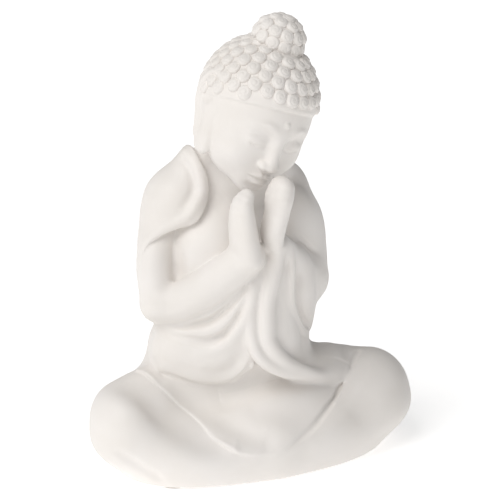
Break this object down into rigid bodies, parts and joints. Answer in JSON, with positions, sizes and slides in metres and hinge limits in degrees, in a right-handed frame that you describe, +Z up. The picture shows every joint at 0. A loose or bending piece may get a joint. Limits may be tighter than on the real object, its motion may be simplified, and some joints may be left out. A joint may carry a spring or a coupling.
{
  "type": "buddha statue",
  "caption": "Hollow ceramic devotional figure, seated with folded legs, hands held together in prayer, head bowed and tilted.",
  "frame": {"origin": "centre of the bounding box's bottom, on the surface that the felt pads stand on", "axes": "+Z up, -Y the way the figure faces, +X towards the figure's left side"},
  "size_m": [0.2256, 0.1106, 0.2941],
  "materials": {
    "glaze": "matte off-white",
    "felt": "undyed wool felt"
  },
  "bodies": {
    "root": {"felt_pad_1": "felt", "felt_pad_2": "felt", "felt_pad_3": "felt", "felt_pad_4": "felt", "base_plate": "glaze", "legs": "glaze", "lap_cloth": "glaze", "torso": "glaze", "neck": "glaze", "head": "glaze", "right_ear": "glaze", "left_ear": "glaze", "forehead_dot": "glaze", "hair_cap": "glaze", "hair_knot": "glaze", "knot_curls": "glaze", "curl_row_1": "glaze", "curl_row_2": "glaze", "curl_row_3": "glaze", "curl_row_4": "glaze", "curl_row_5": "glaze", "curl_row_6": "glaze", "curl_row_7": "glaze", "curl_row_8": "glaze", "right_arm": "glaze", "right_hand": "glaze", "right_thumb": "glaze", "shoulder_cape": "glaze", "left_arm": "glaze", "left_hand": "glaze", "left_thumb": "glaze", "left_sleeve": "glaze", "robe_tail": "glaze", "belly_folds": "glaze"}
  },
  "joints": []
}
